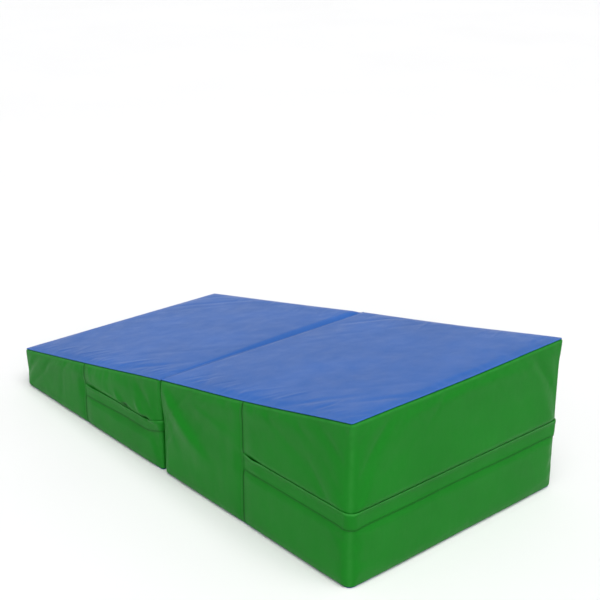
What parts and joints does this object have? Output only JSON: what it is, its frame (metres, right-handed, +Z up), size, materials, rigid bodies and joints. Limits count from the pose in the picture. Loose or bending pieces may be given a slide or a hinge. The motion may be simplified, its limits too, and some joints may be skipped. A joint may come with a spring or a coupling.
{
  "type": "incline wedge mat",
  "caption": "Folding incline wedge mat: two foam halves in zipped vinyl covers, hinged by a cloth fold across the top.",
  "frame": {"origin": "on the floor, under the fold line, at mid-width, with the mat unfolded", "axes": "+X uphill from the thin end to the thick end, +Y towards the side with the centred seams, +Z up"},
  "size_m": [1.2235, 0.6182, 0.3556],
  "materials": {
    "blue_vinyl": "satin",
    "green_vinyl": "satin",
    "foam": "matte",
    "zip_tape": "matte",
    "zip_coil": "satin",
    "zip_metal": "satin"
  },
  "bodies": {
    "thick_half": {"thick_foam_core": "foam", "thick_top_panel": "blue_vinyl", "thick_bottom_panel": "blue_vinyl", "thick_plain_boxing": "green_vinyl", "thick_upper_boxing": "green_vinyl", "thick_lower_boxing": "green_vinyl", "thick_zip_flap": "green_vinyl", "thick_zip_tape_upper": "zip_tape", "thick_zip_tape_lower": "zip_tape", "thick_zip_teeth_upper": "zip_coil", "thick_zip_teeth_lower": "zip_coil", "thick_zip_stop_near": "zip_metal", "thick_zip_stop_far": "zip_metal", "fold_strip": "blue_vinyl"},
    "thick_zip_slider": {"thick_zip_slider": "zip_metal"},
    "thick_zip_pull": {"thick_zip_pull": "zip_metal"},
    "thin_half": {"thin_foam_core": "foam", "thin_top_panel": "blue_vinyl", "thin_bottom_panel": "blue_vinyl", "thin_plain_boxing": "green_vinyl", "thin_upper_boxing": "green_vinyl", "thin_lower_boxing": "green_vinyl", "thin_zip_flap": "green_vinyl", "thin_zip_tape_upper": "zip_tape", "thin_zip_tape_lower": "zip_tape", "thin_zip_teeth_upper": "zip_coil", "thin_zip_teeth_lower": "zip_coil", "thin_zip_stop_near": "zip_metal", "thin_zip_stop_far": "zip_metal"},
    "thin_zip_slider": {"thin_zip_slider": "zip_metal"},
    "thin_zip_pull": {"thin_zip_pull": "zip_metal"}
  },
  "joints": [
    {"name": "fold", "type": "hinge", "parent": "thick_half", "child": "thin_half", "pos_m": [0, 0, 0.2351], "axis": [0, 1, 0], "range_deg": [0, 180], "deforming": ["fold_strip"]},
    {"name": "thick_zip_slide", "type": "slide", "parent": "thick_half", "child": "thick_zip_slider", "axis": [1, 0, 0], "range_m": [0, 0.225]},
    {"name": "thick_pull_swing", "type": "hinge", "parent": "thick_zip_slider", "child": "thick_zip_pull", "pos_m": [0.3288, 0.3059, 0.148], "axis": [0, 0, 1], "range_deg": [0, 180], "deforming": ["thick_zip_flap"]},
    {"name": "thin_zip_slide", "type": "slide", "parent": "thin_half", "child": "thin_zip_slider", "axis": [1, 0, 0], "range_m": [0, 0.225]},
    {"name": "thin_pull_swing", "type": "hinge", "parent": "thin_zip_slider", "child": "thin_zip_pull", "pos_m": [-0.2808, 0.3059, 0.096], "axis": [0, 0, 1], "range_deg": [0, 180], "deforming": ["thin_zip_flap"]}
  ]
}
